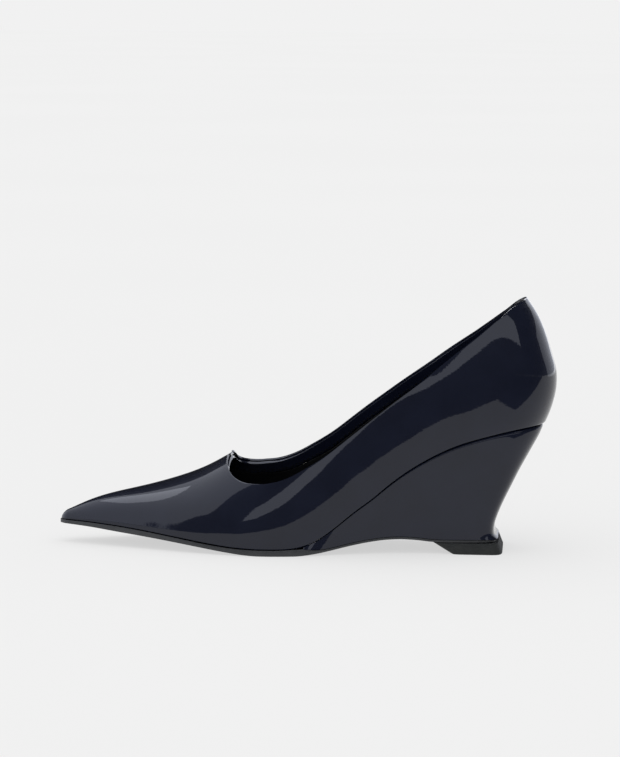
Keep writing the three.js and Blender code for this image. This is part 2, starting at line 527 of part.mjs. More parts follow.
pieces.bottom_filler = [plate(between(48 * kLong, 121 * kLong), marginWide * kWide + gap * 2,
  () => 0, () => upperThick), 'cork'];
pieces.forefoot_pad = [plate(between(53 * kLong, 125 * kLong), dInside + 3, () => liftTop,
  s => liftTop + Math.max(0.12, padRise(s) - 0.05)), 'foam'];
pieces.heel_pad = [plate([...between(173 * kLong, closeStation), ...heelStations(8).slice(0, 6)],
  dInside + 5, () => liftTop, s => liftTop + Math.max(0.12, padRise(s) - 0.05)), 'foam'];
pieces.sock_lining = [plate([...between(22 * kLong, closeStation), ...heelStations(8)], dInside, s => liftTop + gap + padRise(s),
s => liftTop + gap + sockThick + padRise(s)), 'sock'];
pieces.outsole = [cut(outsole(), pins.map(([x, y]) => pinAt(x, y, holeGap))), 'sole'];
pieces.wedge_core = [cut(wedgeCore(), [...nails.map(([, s, y]) => nailAt(s, y, nailRadius, 20, holeGap)),
  nailAt(screw[0], screw[1], screwRadius, 22, holeGap), ...pins.map(([x, y]) => pinAt(x, y, holeGap))]), 'core'];
pieces.wedge_cover = [wedgeCover(), 'patent'];
pieces.toplift = [cut(toplift(), pins.map(([x, y]) => pinAt(x, y, holeGap))), 'rubber'];
pins.forEach(([x, y], i) => { pieces[i ? 'toplift_pin_back' : 'toplift_pin_front'] = [pinAt(x, y), 'steel']; });
nails.forEach(([name, s, y]) => { pieces[name] = [nailAt(s, y, nailRadius, 20), 'steel']; });
pieces.heel_screw = [nailAt(screw[0], screw[1], screwRadius, 22), 'steel'];

const looks = {
  patent: [0x121826, 0.12, 0], stiff: [0xb9ad93, 0.9, 0], stay: [0xd8d4c8, 0.95, 0], lining: [0x0e0f13, 0.7, 0],
  grip: [0x14151a, 0.95, 0], board: [0x9a7d5a, 0.9, 0], steel: [0x9aa0a6, 0.35, 1], cork: [0xb08a5c, 1, 0],
  foam: [0xd9c9a3, 1, 0], sock: [0x101116, 0.65, 0], sole: [0x2c2e33, 0.55, 0], core: [0xe4e2dc, 0.6, 0],
  rubber: [0x232624, 0.85, 0],
};
const shoe = new THREE.Group();
for (const [name, [geometry, look]] of Object.entries(pieces)) {
  geometry.computeVertexNormals();
  const [color, roughness, metalness] = looks[look];
  const mesh = new THREE.Mesh(geometry, new THREE.MeshStandardMaterial({ color, roughness, metalness }));
  mesh.name = name; shoe.add(mesh);
}
// The origin is on the ground under the middle of the shoe's box.
const box = new THREE.Box3().setFromObject(shoe, true);
for (const mesh of shoe.children) {
  mesh.geometry.translate(-(box.min.x + box.max.x) / 2, -(box.min.y + box.max.y) / 2, -box.min.z);
}
export default shoe;
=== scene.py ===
import bpy, bmesh, math
import numpy as np
from mathutils import Matrix, Vector


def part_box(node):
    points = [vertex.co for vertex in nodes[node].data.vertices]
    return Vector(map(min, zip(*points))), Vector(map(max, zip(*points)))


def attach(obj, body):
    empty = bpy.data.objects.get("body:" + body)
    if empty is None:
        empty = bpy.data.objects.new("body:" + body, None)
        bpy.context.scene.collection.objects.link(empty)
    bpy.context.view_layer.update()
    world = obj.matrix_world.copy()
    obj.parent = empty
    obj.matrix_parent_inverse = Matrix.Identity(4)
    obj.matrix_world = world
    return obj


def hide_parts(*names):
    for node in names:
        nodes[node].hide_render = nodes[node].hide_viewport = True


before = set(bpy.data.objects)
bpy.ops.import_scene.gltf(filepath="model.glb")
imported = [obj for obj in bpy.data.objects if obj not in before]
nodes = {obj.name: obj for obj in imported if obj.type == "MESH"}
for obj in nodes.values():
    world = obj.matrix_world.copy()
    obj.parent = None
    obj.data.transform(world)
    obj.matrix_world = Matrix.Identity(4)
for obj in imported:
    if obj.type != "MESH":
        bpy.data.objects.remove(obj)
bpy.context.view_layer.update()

# ------------------------------------------------------------------ sizes, in millimetres
MM = 0.001
# Stations along the shoe: the throat, where the heel's rounding starts, and the back of the seat.
THROAT, CLOSE, SEAT = 86.0, 205.0, 243.5
SEAT_HEIGHT = 64.5                            # feather edge at the back of the seat
HEEL_ROUND = 2.3                              # exponent of the heel's rounding in plan
TOE_ROUND = 3.5
TOE_END, TOE_SETBACK = 80.0, 2.4              # inner layers start further back, up to this station
LEAN_FROM = 0.45                              # share of the wall's height where the lean sets in
BULGE_HEIGHT = 7.0                            # height over which the wall's bulge grows
WEDGE_TIP, WEDGE_END = 125.0, 220.8
LEATHER = 1.2                                 # patent leather of the upper
WEDGE_LEATHER = 1.0
UNDER_FOLD = 0.9                              # rounding where the upper turns under
FACING, FACING_THICK, FACING_DEPTH = 5.0, 1.5, 1.75   # band inside the topline
LINING_THICK, LINING_DEPTH = 0.75, 3.5
LINING_LOW = 3.9                              # lower edge of the linings over the feather edge
LINING_TOP = FACING + 0.1                     # their upper edge under the topline
BOARD_TOP = 3.5                               # top of the insole board over the feather edge
PAD_GAP = 0.3                                 # from the board to a pad, and a pad's least thickness
PAD_THICK = 2.0
SOCK_FRONT, SOCK_DEPTH, SOCK_LOW = 22.0, 3.9, 4.1
SOCK_THICK, SOCK_CROWN = 0.9, 0.15
SOLE_THICK, SOLE_UNDER_WEDGE = 3.3, 1.1
SOLE_GAP = 0.3                                # from the feather edge to what lies under it
SOLE_SQUARE = 188.0                           # station where the sole's square heel end starts
LEAVES_LAST = 121.0                           # station where the sole's edge leaves the upper's
LIFT_BACK = 223.0
TOP_OF_LIFT = 5.5
FOOT_CORNER = 7.0                             # how square the wedge's foot is in plan

# The frame's own place of the shoe: the toplift is square on the shoe's long axis.
lift_low, lift_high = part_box("toplift")
SHIFT = Vector((lift_high.x / MM - LIFT_BACK, (lift_low.y + lift_high.y) / 2 / MM, 0))


def placed(p):
    return Vector((p[0] + SHIFT.x, p[1] + SHIFT.y, p[2])) * MM


# ------------------------------------------------------------------ fair curves
def fair(points, soft=4.0):
    """Curve through points with no overshoot, then faired a little so that gloss runs clean."""
    x = np.array([p[0] for p in points], float)
    y = np.array([p[1] for p in points], float)
    h, s = np.diff(x), np.diff(y) / np.diff(x)
    m = np.zeros(len(x))
    m[0], m[-1] = s[0], s[-1]
    for i in range(1, len(x) - 1):
        if s[i - 1] * s[i] > 0:
            a, b = 2 * h[i] + h[i - 1], h[i] + 2 * h[i - 1]
            m[i] = (a + b) / (a / s[i - 1] + b / s[i])
    step = (x[-1] - x[0]) / 1200
    pad = int(4 * soft / step) + 1
    t = x[0] + step * np.arange(-pad, 1201 + pad)
    i = np.clip(np.searchsorted(x, t, side="right") - 1, 0, len(x) - 2)
    u = (t - x[i]) / h[i]
    v = 1 - u
    f = (y[i] * v * v * (1 + 2 * u) + y[i + 1] * u * u * (3 - 2 * u)
         + h[i] * (m[i] * u * v * v - m[i + 1] * u * u * v))
    f = np.where(t < x[0], y[0] + m[0] * (t - x[0]), np.where(t > x[-1], y[-1] + m[-1] * (t - x[-1]), f))
    if soft > 0:
        k = np.exp(-0.5 * (step * np.arange(-pad, pad + 1) / soft) ** 2)
        f = np.convolve(np.pad(f, pad, mode="reflect", reflect_type="odd"), k / k.sum(), mode="valid")
    return lambda q: float(np.interp(q, t, f))


feather = fair([[0, 11.5], [14, 11.3], [26, 10.7], [37, 9.9], [62, 7.1], [80, 4.9], [92, 3.7], [104, 3.2],
                [115, 3.25], [121.5, 3.9], [127.5, 5.6], [133.5, 8.6], [141, 14.1], [149, 20.8], [159, 28.2],
                [167.5, 35.5], [176, 41.8], [190, 50.2], [202, 55.6], [214, 59.3], [226, 62.1], [237, 63.8],
                [243.5, 64.5]], 2.5)
ridge = fair([[0, 14.6], [4.4, 16.3], [9, 18.7], [13.6, 20.8], [18.3, 22.6], [27.5, 25.3], [37, 27.5],
              [46, 29.7], [60.5, 34.0], [69, 37.1], [77, 40.9], [86, 46.3], [100, 53], [120, 64], [150, 86],
              [175, 107], [200, 129], [225, 151], [243.5, 163]], 4)
width_out = fair([[0, 3.2], [10, 7.6], [25, 13.8], [50, 23.6], [75, 32.4], [95, 37.3], [107, 38.3],
                  [120, 36.6], [135, 32.4], [150, 28.8], [165, 26.5], [180, 25.9], [195, 26.4], [205, 26.7],
                  [244, 26.7]])
width_in = fair([[0, 3.2], [10, 8], [25, 14.6], [50, 25], [75, 34], [88, 37], [98, 37.3], [112, 34.3],
                 [128, 29.2], [145, 25.2], [160, 23.8], [175, 24.1], [190, 25.6], [205, 26.7], [244, 26.7]])
arch = fair([[0, 2.0], [40, 2.0], [86, 2.08], [110, 2.2], [130, 2.5], [160, 2.85], [205, 3], [244, 3]], 6)
bulge = fair([[0, 0.02], [60, 0.02], [100, 0.02], [125, 0.04], [150, 0.07], [205, 0.10], [244, 0.10]], 6)
# The wall stands up straighter at the waist's topline and grips inwards at the heel's.
lean = fair([[0, 0], [90, 0], [105, 0.1], [120, 0.45], [160, 0.45], [174, 0.1], [190, -0.7], [244, -0.8]], 6)
ridge_side = fair([[0, 0], [40, 0.6], [86, 2], [150, 1], [205, 0], [244, 0]], 8)
skew = fair([[0, 0], [50, 0.02], [86, 0.06], [104, 0.03], [120, 0], [244, 0]], 4)
counter_back = fair([[-20, 232], [0, 243.5], [6, 246], [11, 247.5], [16, 248.6], [21, 249], [26, 248.7],
                     [31, 247.2], [38.5, 245.0], [46.5, 242.3], [54.5, 238.5], [61.8, 233.4], [75, 224],
                     [100, 204]], 2.5)
medial_lift = fair([[86, 0], [92, 2.8], [100, 4.4], [120, 5], [150, 5.2], [165, 4.5], [178, 3.6], [190, 2],
                    [200, 0.5], [208, -0.6], [225, -1.5], [243.5, 0]], 2)
# The topline's height, by the square root of the distance behind the throat.
topline_rise = fair([[0, 46.3], [0.55, 43.5], [1.3, 40.6], [2.1, 38.0], [2.85, 36.1], [3.6, 35.05],
                     [4.36, 35.1], [5, 36.2], [5.6, 38.5], [6.3, 43.1], [7, 48.9], [7.8, 58.2], [8.5, 67.3],
                     [9.1, 75.7], [9.8, 86.0], [10.4, 96.5], [10.9, 105.2], [11.35, 113.0], [11.8, 119.8],
                     [12.2, 124.4], [12.55, 126.4]], 0.16)
sole_bottom = fair([[0, 9.6], [15, 8.9], [30, 7.6], [45, 6.3], [60, 4.8], [75, 3.1], [88, 1.5], [97, 0.45],
                    [104, 0], [121, 0], [126, 0.35], [132, 1.1], [139, 2.5], [148, 4.5], [158, 6.3],
                    [166, 7.2], [172, 7.4], [181, 6.9], [188, 6.1], [195, 5.8], [222, 5.8]], 0.8)
foot_out = fair([[125, 35.6], [150, 28], [170, 23.6], [188, 21.6], [205, 20.6], [222, 20.4]])
foot_in = fair([[125, 30.6], [150, 25], [170, 23.6], [188, 21.6], [205, 20.6], [222, 20.4]])
wedge_hollow = fair([[0, 0], [0.03, 2.4], [0.06, 3.3], [0.1, 4.1], [0.16, 4.7], [0.24, 4.8], [0.32, 4.6],
                     [0.45, 3.9], [0.6, 3.0], [0.8, 1.2], [0.93, 0.1], [1, 0]], 0.015)


# ------------------------------------------------------------------ the last
def topline(s, side):
    q = math.sqrt(max(0.0, s - THROAT))
    if q <= 0:
        return ridge(THROAT)
    return min(topline_rise(q), ridge(s)) + (medial_lift(s) if side > 0 else 0)


def station_in(s, d):
    """Station of a layer d millimetres under the outside."""
    return s + TOE_SETBACK * d * (1 - s / TOE_END) ** 2 if s < TOE_END else s


def toe_blunt(s):
    """How far the toe's tip has opened, from 0 at its point to 1."""
    return math.sqrt(max(0.0, 1 - (1 - s / TOE_ROUND) ** 2)) if s < TOE_ROUND else 1.0


def last(s, theta, side, d=0.0):
    """Point on the outside of the upper, or d millimetres under it.

    theta climbs from the feather edge to the ridge."""
    blunt = toe_blunt(s)
    q = station_in(s, d)
    e = 2 / arch(q)
    b = math.sin(theta) ** e
    a = 0.0 if theta > math.pi / 2 - 1e-6 else math.cos(theta) ** e
    zf = feather(q)
    rise = max(0.2, ridge(q) - d - zf) * blunt
    z = zf + rise * b
    half = max(0.3, (width_out(q) if side < 0 else width_in(q)) - d) * blunt
    if s > 90:
        climbed = (z - zf) / max(1.0, topline(q, side) - zf)
        half += lean(q) * min(1.2, max(0.0, climbed - LEAN_FROM) / (1 - LEAN_FROM)) ** 2
    x = q
    if q > CLOSE:
        u = min(1.0, (q - CLOSE) / (SEAT - CLOSE))
        half *= (1 - u ** HEEL_ROUND) ** (1 / HEEL_ROUND)
        x = CLOSE + (counter_back(z - SEAT_HEIGHT) - d - CLOSE) * u
    swell = 1 + bulge(q) * (1 - math.exp(-rise * b / BULGE_HEIGHT))
    y = side * half * a * swell + ridge_side(q) * (1 - a)
    return Vector((x + skew(q) * y, y, z))


def angle_at(s, z):
    """Angle where the wall reaches height z."""
    rise = ridge(s) - feather(s)
    return math.asin(min(1.0, max(0.0, (z - feather(s)) / rise)) ** (arch(s) / 2))


def low_angle(s, d, low):
    """Angle of a line low millimetres over the feather edge."""
    q = station_in(s, d)
    rise = max(0.2, ridge(q) - d - feather(q)) * toe_blunt(s)
    return 0.0 if low <= 0 or rise <= 0 else math.asin(min(0.9, low / rise) ** (arch(q) / 2))


def cut_line(s, side, m):
    """Height of a line m millimetres below the topline."""
    if m <= 0:
        return topline(s, side)
    nearly_upright = s + m - THROAT < 0.6
    slope = -50.0 if nearly_upright else topline(s + m + 0.5, side) - topline(s + m - 0.5, side)
    z = topline(s + m, side) - m * (slope + math.sqrt(1 + slope * slope))
    return min(z, topline(s, side) - m * 1.1) if s > CLOSE else z


def top_angle(s, side, m=0.0):
    return math.pi / 2 if s <= THROAT - m else angle_at(s, cut_line(s, side, m))


# ------------------------------------------------------------------ meshes
def mapped_grid(bm, columns, rows, place):
    """A grid whose points go where place(u, w) says, u and w from 0 to 1."""
    made = bmesh.ops.create_grid(bm, x_segments=columns, y_segments=rows, size=0.5)
    for v in made["verts"]:
        v.co = placed(place(min(1, max(0, v.co.x + 0.5)), min(1, max(0, v.co.y + 0.5))))


def closed_plate(name, columns, rows, top, bottom):
    """Two mapped sheets joined all round their edges."""
    bm = bmesh.new()
    mapped_grid(bm, columns, rows, top)
    mapped_grid(bm, columns, rows, bottom)
    bmesh.ops.bridge_loops(bm, edges=[e for e in bm.edges if e.is_boundary])
    return finish_mesh(bm, name, merge=1e-6)


def across(w):
    """Even steps made closer together at both edges of a sheet."""
    return 0.5 - 0.5 * math.cos(math.pi * w)


def finish_mesh(bm, name, merge=2e-6, outward=True):
    if merge:
        bmesh.ops.remove_doubles(bm, verts=bm.verts, dist=merge)
    bmesh.ops.dissolve_degenerate(bm, edges=bm.edges, dist=1e-7)
    if outward:
        bmesh.ops.recalc_face_normals(bm, faces=bm.faces)
    for f in bm.faces:
        f.smooth = True
    me = bpy.data.meshes.new(name)
    bm.to_mesh(me)
    bm.free()
    piece = bpy.data.objects.new(name, me)
    bpy.context.scene.collection.objects.link(piece)
    return piece


def faces_towards(piece, way):
    """Turns a sheet's faces the given way, so that its thickness grows the other way."""
    bm = bmesh.new()
    bm.from_mesh(piece.data)
    mean = sum((f.normal * f.calc_area() for f in bm.faces), Vector())
    if mean.dot(Vector(way)) < 0:
        bmesh.ops.reverse_faces(bm, faces=bm.faces)
    bm.to_mesh(piece.data)
    bm.free()


def finish_with(piece, thick=0.0, round_off=0.0, segments=3, smooth=0):
    """Gives a sheet its thickness behind its faces, rounds the edges and smooths it."""
    if thick:
        mod = piece.modifiers.new("thickness", "SOLIDIFY")
        mod.thickness, mod.offset = thick * MM, -1.0
    if round_off:
        mod = piece.modifiers.new("rounded_edges", "BEVEL")
        mod.width, mod.segments = round_off * MM, segments
        mod.limit_method, mod.angle_limit = "ANGLE", math.radians(50)
    if smooth:
        mod = piece.modifiers.new("smooth", "SUBSURF")
        mod.levels = mod.render_levels = smooth
    return piece


def add(piece, slot, material, *replaced):
    piece.data.materials.clear()
    piece.data.materials.append(material)
    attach(piece, "root")
    if replaced:
        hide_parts(*replaced)
    return piece


def heel_turn(t):
    """Station through the heel's rounding, t from 0 to 1, closer together at the back."""
    return CLOSE + (SEAT - CLOSE) * math.sin(t * math.pi / 2) ** (2 / HEEL_ROUND)


def at_the_top(s):
    """Station on the topline where a column that starts at s on the feather edge ends.

    Columns fan out at the throat."""
    before, after = 74.0, 104.0
    if s <= before or s >= after:
        return s
    t = (s - before) / (after - before)
    if t < 0.35:
        return before + (THROAT - before) * t / 0.35
    return THROAT + (after - THROAT) * ((t - 0.35) / 0.65) ** 3.2


def along_shoe(u):
    """Stations from toe to heel: close at the toe's tip, even from there on, and round the heel."""
    tip, vamp, quarter = 0.08, 0.36, 0.76         # shares of the columns where each stretch ends
    if u < tip:
        return TOE_ROUND * (u / tip) ** 2
    if u < vamp:
        return TOE_ROUND + (THROAT - TOE_ROUND) * (u - tip) / (vamp - tip)
    if u < quarter:
        return THROAT + (CLOSE - THROAT) * (u - vamp) / (quarter - vamp)
    return heel_turn((u - quarter) / (1 - quarter))


# ------------------------------------------------------------------ materials
def shader(name, color, rough, **sockets):
    m = bpy.data.materials.new(name)
    m.use_nodes = True
    b = m.node_tree.nodes["Principled BSDF"]
    b.inputs["Base Color"].default_value = (*color, 1)
    b.inputs["Roughness"].default_value = rough
    for k, v in sockets.items():
        b.inputs[k.replace("_", " ")].default_value = v
    return m, m.node_tree, b


def node(tree, kind, **inputs):
    n = tree.nodes.new(kind)
    for k, v in inputs.items():
        n.inputs[k.replace("_", " ")].default_value = v
    return n


def noise(tree, scale, detail=2.0, rough=0.5):
    n = node(tree, "ShaderNodeTexNoise", Scale=scale, Detail=detail, Roughness=rough)
    c = tree.nodes.get("object_place") or tree.nodes.new("ShaderNodeTexCoord")
    c.name = "object_place"
    tree.links.new(c.outputs["Object"], n.inputs["Vector"])
    return n


def bump(tree, height, strength, distance, before=None):
    n = node(tree, "ShaderNodeBump", Strength=strength, Distance=distance)
    tree.links.new(height, n.inputs["Height"])
    if before:
        tree.links.new(before.outputs["Normal"], n.inputs["Normal"])
    return n


def tint(tree, value, low, high, a=0.35, b=0.65):
    n = tree.nodes.new("ShaderNodeValToRGB")
    n.color_ramp.elements[0].position, n.color_ramp.elements[1].position = a, b
    n.color_ramp.elements[0].color, n.color_ramp.elements[1].color = (*low, 1), (*high, 1)
    tree.links.new(value, n.inputs["Fac"])
    return n


def patent_leather(name="navy_patent", waviness=0.05):
    m, t, b = shader(name, (0.005, 0.007, 0.017), 0.42, Specular_IOR_Level=0.08, Coat_Weight=1.0,
                     Coat_Roughness=0.03, Coat_IOR=1.4)
    shade = tint(t, noise(t, 55, 3).outputs["Fac"], (0.0042, 0.0060, 0.0160), (0.0056, 0.0078, 0.0195))
    t.links.new(shade.outputs["Color"], b.inputs["Base Color"])
    wave = bump(t, noise(t, 38, 1.5, 0.4).outputs["Fac"], waviness, 0.004)
    peel = bump(t, noise(t, 900, 2).outputs["Fac"], 0.012, 0.0006, wave)
    t.links.new(peel.outputs["Normal"], b.inputs["Coat Normal"])
    t.links.new(peel.outputs["Normal"], b.inputs["Normal"])
    return m


def grained(name, dark, light, rough, grain_scale=1400, strength=0.25, depth=0.0003, **sockets):
    """Fine-grained leather, suede, board or rubber."""
    m, t, b = shader(name, dark, rough, **sockets)
    shade = tint(t, noise(t, grain_scale / 12, 4, 0.6).outputs["Fac"], dark, light)
    t.links.new(shade.outputs["Color"], b.inputs["Base Color"])
    cells = node(t, "ShaderNodeTexVoronoi", Scale=grain_scale)
    t.links.new(t.nodes["object_place"].outputs["Object"], cells.inputs["Vector"])
    fine = bump(t, cells.outputs["Distance"], strength, depth)
    soft = bump(t, noise(t, grain_scale / 5, 4, 0.6).outputs["Fac"], strength, depth * 2, fine)
    t.links.new(soft.outputs["Normal"], b.inputs["Normal"])
    return m


patent = patent_leather()
wedge_patent = patent_leather("navy_patent_wedge", 0.03)
black_lining = grained("black_lining_leather", (0.0025, 0.0026, 0.0034), (0.0042, 0.0043, 0.0052), 0.55,
                       Specular_IOR_Level=0.25)
black_suede = grained("black_suede", (0.005, 0.005, 0.006), (0.010, 0.010, 0.011), 0.95, 2600, 0.5,
                      Sheen_Weight=0.4, Sheen_Roughness=0.5)
sock_leather = grained("black_sock_leather", (0.003, 0.003, 0.004), (0.005, 0.005, 0.006), 0.48, 1100,
                       Specular_IOR_Level=0.3)
edge_paint = grained("charcoal_sole", (0.020, 0.022, 0.026), (0.030, 0.032, 0.036), 0.42, 1800, 0.15)
tread_rubber = grained("black_tread_rubber", (0.008, 0.010, 0.010), (0.014, 0.016, 0.015), 0.72, 2200, 0.3)
thread = grained("black_thread", (0.004, 0.0045, 0.006), (0.008, 0.008, 0.010), 0.9, 5000, 0.3,
                 Specular_IOR_Level=0.1)
fibre_board = grained("insole_fibreboard", (0.26, 0.16, 0.085), (0.36, 0.23, 0.12), 0.9, 900, 0.4)
stiff_board = grained("stiffener_fibre", (0.40, 0.34, 0.23), (0.50, 0.44, 0.30), 0.9, 1200, 0.3)
stay_cloth = grained("stay_cloth", (0.60, 0.58, 0.50), (0.72, 0.70, 0.62), 0.95, 3000, 0.4)
cork = grained("pressed_cork", (0.26, 0.15, 0.06), (0.48, 0.31, 0.14), 1.0, 500, 0.6, 0.0006)
foam = grained("open_cell_foam", (0.58, 0.48, 0.30), (0.72, 0.62, 0.42), 1.0, 2400, 0.6, 0.0005)
# Moulded plastic of the wedge core. Dark plastic is real for such cores, but this one is made this dark so
# that the hairline of core seen in the seam between the wedge and the upper shows as painted shade in that
# seam.
dark_core_plastic_as_seam_shade = grained("moulded_heel_plastic_dark_as_seam_shade", (0.020, 0.021, 0.024), (0.030, 0.031, 0.034), 0.55, 700, 0.1)
steel = grained("tempered_steel", (0.40, 0.41, 0.43), (0.52, 0.53, 0.55), 0.32, 1500, 0.08, Metallic=1.0)

# Pieces that stay as the frame has them, inside the shoe.
for name, material in (
    ("toe_puff", stiff_board), ("heel_counter", stiff_board), ("lateral_side_stay", stay_cloth),
    ("medial_side_stay", stay_cloth), ("insole_board", fibre_board), ("bottom_filler", cork),
    ("wedge_core", dark_core_plastic_as_seam_shade), ("steel_shank", steel), ("shank_rivet_front", steel),
    ("shank_rivet_back", steel), ("toplift_pin_front", steel), ("toplift_pin_back", steel),
    ("heel_nail_front_lateral", steel), ("heel_nail_front_medial", steel),
    ("heel_nail_back_lateral", steel), ("heel_nail_back_medial", steel), ("heel_screw", steel)):
    for slot in nodes[name].material_slots:
        slot.material = material


# ------------------------------------------------------------------ upper
def upper_skin():
    """Outside of the upper, from the lasting margin under the sole up the wall to the topline."""
    bm = bmesh.new()
    margin = 0.2                                  # share of the rows in the lasting margin

    def wall(s, start, t, side):
        end = at_the_top(s)
        return last(s + (end - s) * t ** 1.5, start + (top_angle(end, side) - start) * t, side)

    def turned_under(s, start, k, side):
        edge, under = last(s, start, side), last(s, 0, side, UNDER_FOLD * 0.8)
        half = width_out(s) if side < 0 else width_in(s)
        inner = last(s, 0, side, min(10, 0.42 * half))
        under.z = feather(min(under.x, SEAT))
        inner.z = feather(min(inner.x, SEAT))
        if k <= 0.5:
            return inner + (under - inner) * (k / 0.5)
        a = (k - 0.5) / 0.5
        corner = last(s, 0, side)
        corner.z = under.z
        return under * (1 - a) ** 2 + corner * 2 * a * (1 - a) + edge * a * a

    for side in (-1, 1):
        def point(u, w):
            s = along_shoe(u)
            start = low_angle(s, 0, UNDER_FOLD) * min(1, s / 6)
            if w >= margin:
                return wall(s, start, ((w - margin) / (1 - margin)) ** 1.35, side)
            return turned_under(s, start, w / margin, side)
        mapped_grid(bm, 264, 70, point)
    return finish_mesh(bm, "patent_upper")


upper = upper_skin()
finish_with(upper, LEATHER, 0.5, 4)
add(upper, "patent_leather", patent, "upper")


# ------------------------------------------------------------------ facing and linings
def band_point(s, side, t, d):
    """Point on the band below the topline, t from 0 at the topline to 1 at the band's lower edge."""
    ahead = max(0.0, 1 - (s - THROAT) / 16)
    s_in = s - FACING * ahead ** 1.5
    hi, lo = top_angle(s, side), top_angle(s_in, side, FACING)
    return last(s + (s_in - s) * t, hi + (lo - hi) * t, side, d)


def along_topline(u):
    """Stations from the throat's middle to the back seam."""
    if u < 0.15:
        return THROAT + 6 * (u / 0.15) ** 4
    if u < 0.75:
        t = (u - 0.15) / 0.6
        return THROAT + 6 + (CLOSE - THROAT - 6) * (0.85 * t + 0.15 * t * t)
    return heel_turn((u - 0.75) / 0.25)


def facing_band():
    bm = bmesh.new()
    for side in (-1, 1):
        mapped_grid(bm, 300, 10, lambda u, w: band_point(along_topline(u), side, w, FACING_DEPTH))
    return finish_mesh(bm, "facing_band")


facing = facing_band()
finish_with(facing, FACING_THICK, 0.5, 4)
add(facing, "patent_leather", patent, "topline_facing")


def facing_stitches(length=2.0, pitch=2.5, thread_radius=0.2):
    """One row of lockstitch inside the shoe, just above the facing band's lower edge."""
    bm = bmesh.new()
    depth = FACING_DEPTH + FACING_THICK + 0.02
    for side in (-1, 1):
        row = [placed(band_point(along_topline(k / 900), side, 0.76, depth)) for k in range(901)]
        travelled, due = 0.0, 0.6 * pitch * MM
        for a, b in zip(row, row[1:]):
            travelled += (b - a).length
            if travelled < due:
                continue
            due += pitch * MM
            turn = Vector((1, 0, 0)).rotation_difference(b - a).to_matrix().to_4x4()
            size = Matrix.Diagonal((length / 2 * MM, thread_radius * MM, thread_radius * MM, 1))
            bmesh.ops.create_uvsphere(bm, u_segments=10, v_segments=6, radius=1.0,
                                      matrix=Matrix.Translation(b) @ turn @ size)
    return finish_mesh(bm, "facing_stitches", merge=0)


add(facing_stitches(), "stay_cloth", thread)


def lining_point(s, side, w):
    """Point on a lining's foot side, w from 0 at the sock to 1 under the facing."""
    a, b = low_angle(s, LINING_DEPTH, LINING_LOW), top_angle(s, side, LINING_TOP)
    return last(s, a + (b - a) * w ** 1.4, side, LINING_DEPTH)


def side_lining(name, side):
    bm = bmesh.new()
    first, final = THROAT - 5.4, 194.5
    mapped_grid(bm, 60, 16, lambda u, w: lining_point(first + (final - first) * u ** 1.5, side, w))
    piece = finish_mesh(bm, name, outward=False)
    faces_towards(piece, (0, -side, 0))
    return piece


def vamp_inside():
    bm = bmesh.new()
    first, final = 15, THROAT - 5.6
    for side in (-1, 1):
        def point(u, w):
            s = first + (final - first) * u
            a = low_angle(s, LINING_DEPTH, LINING_LOW)
            return last(s, a + (math.pi / 2 - a) * w, side, LINING_DEPTH)
        mapped_grid(bm, 40, 16, point)
    piece = finish_mesh(bm, "vamp_lining_sheet")
    faces_towards(piece, (0, 0, -1))
    return piece


def grip_inside():
    """Suede round the heel, from just ahead of the heel's rounding."""
    bm = bmesh.new()
    first = 195
    for side in (-1, 1):
        def point(u, w):
            s = first + (CLOSE - first) * u / 0.2 if u < 0.2 else heel_turn((u - 0.2) / 0.8)
            return lining_point(s, side, w)
        mapped_grid(bm, 40, 18, point)
    piece = finish_mesh(bm, "suede_heel_grip")
    faces_towards(piece, (-1, 0, 0))
    return piece


for sheet, slot, material, replaced in (
    (side_lining("lateral_lining", -1), "lining_leather", black_lining, "lateral_quarter_lining"),
    (side_lining("medial_lining", 1), "lining_leather", black_lining, "medial_quarter_lining"),
    (vamp_inside(), "lining_leather", black_lining, "vamp_lining"),
    (grip_inside(), "grip_suede", black_suede, "heel_grip")):
    finish_with(sheet, LINING_THICK, 0.2, 2, 1)
    add(sheet, slot, material, replaced)


# ------------------------------------------------------------------ sock and pads
def ease(t):
    t = min(1.0, max(0.0, t))
    return t * t * (3 - 2 * t)


def pad_rise(s):
    """How far the pads lift the sock: one under the ball, one under the heel."""
    def hump(a, b, c, e):
        return min(ease((s - a) / (b - a)), ease((e - s) / (e - c)))
    return PAD_THICK * max(hump(52, 62, 112, 126), hump(172, 182, 226, 238))


def sock_sheet():
    """The sock on the bottom of the last, lifted over the pads and a little thicker in its middle."""
    straight = 0.72                               # share of the columns ahead of the heel's rounding

    def point(u, w, top):
        if u < straight:
            s = SOCK_FRONT + (CLOSE - SOCK_FRONT) * u / straight
        else:
            s = heel_turn((u - straight) / (1 - straight))
        low = SOCK_LOW + pad_rise(s)
        ends = []
        for side in (-1, 1):
            foot = last(s, 0, side, SOCK_DEPTH)
            roof = last(s, low_angle(s, SOCK_DEPTH, low + SOCK_THICK), side, SOCK_DEPTH)
            ends.append(roof if s < 100 and abs(roof.y) < abs(foot.y) else foot)
        p = ends[0].lerp(ends[1], across(w))
        mid = last(s, 0, -1, SOCK_DEPTH)
        base = feather(min(mid.x - skew(station_in(s, SOCK_DEPTH)) * mid.y, SEAT))
        p.z = base + low + (SOCK_THICK + SOCK_CROWN * math.sin(math.pi * w) if top else 0)
        return p

    return closed_plate("sock", 90, 20, lambda u, w: point(u, w, True), lambda u, w: point(u, w, False))


sock = sock_sheet()
finish_with(sock, 0, 0.25, 3)
add(sock, "sock_leather", sock_leather, "sock_lining")


